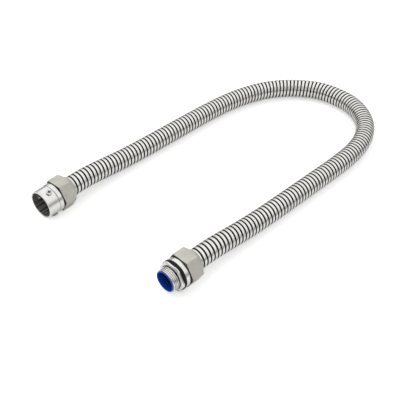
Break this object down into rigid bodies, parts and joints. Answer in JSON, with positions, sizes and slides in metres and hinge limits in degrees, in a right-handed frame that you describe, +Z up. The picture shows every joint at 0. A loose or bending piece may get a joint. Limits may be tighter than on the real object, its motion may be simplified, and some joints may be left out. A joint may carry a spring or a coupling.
{
  "type": "flexible metal conduit",
  "caption": "Flexible stainless steel conduit bent into a U, with a threaded connector and lock nut on one end and a set-screw collar on the other.",
  "frame": {"origin": "on the surface the conduit lies on, midway between its two connectors", "axes": "+X from the connectors towards the bend, +Y from the threaded connector towards the collar, +Z up"},
  "size_m": [0.4539, 0.2341, 0.0374],
  "materials": {
    "hose_steel": "bright rolled stainless steel strip",
    "nickel": "bright nickel plate",
    "nut_metal": "satin cast alloy",
    "screw_steel": "plain steel",
    "blue_plastic": "smooth blue plastic",
    "black_rubber": "matt black rubber",
    "white_nylon": "natural nylon"
  },
  "bodies": {
    "root": {"conduit_hose": "hose_steel", "screw_collar": "nickel", "set_screw_1": "screw_steel", "set_screw_2": "screw_steel", "set_screw_3": "screw_steel", "collar_end_nut": "nut_metal", "collar_end_seal_ring": "white_nylon", "collar_end_ferrule": "screw_steel", "threaded_body": "nickel", "insulating_bush": "blue_plastic", "sealing_washer": "black_rubber", "lock_nut": "nickel", "thread_end_nut": "nut_metal", "thread_end_seal_ring": "white_nylon", "thread_end_ferrule": "screw_steel"}
  },
  "joints": []
}
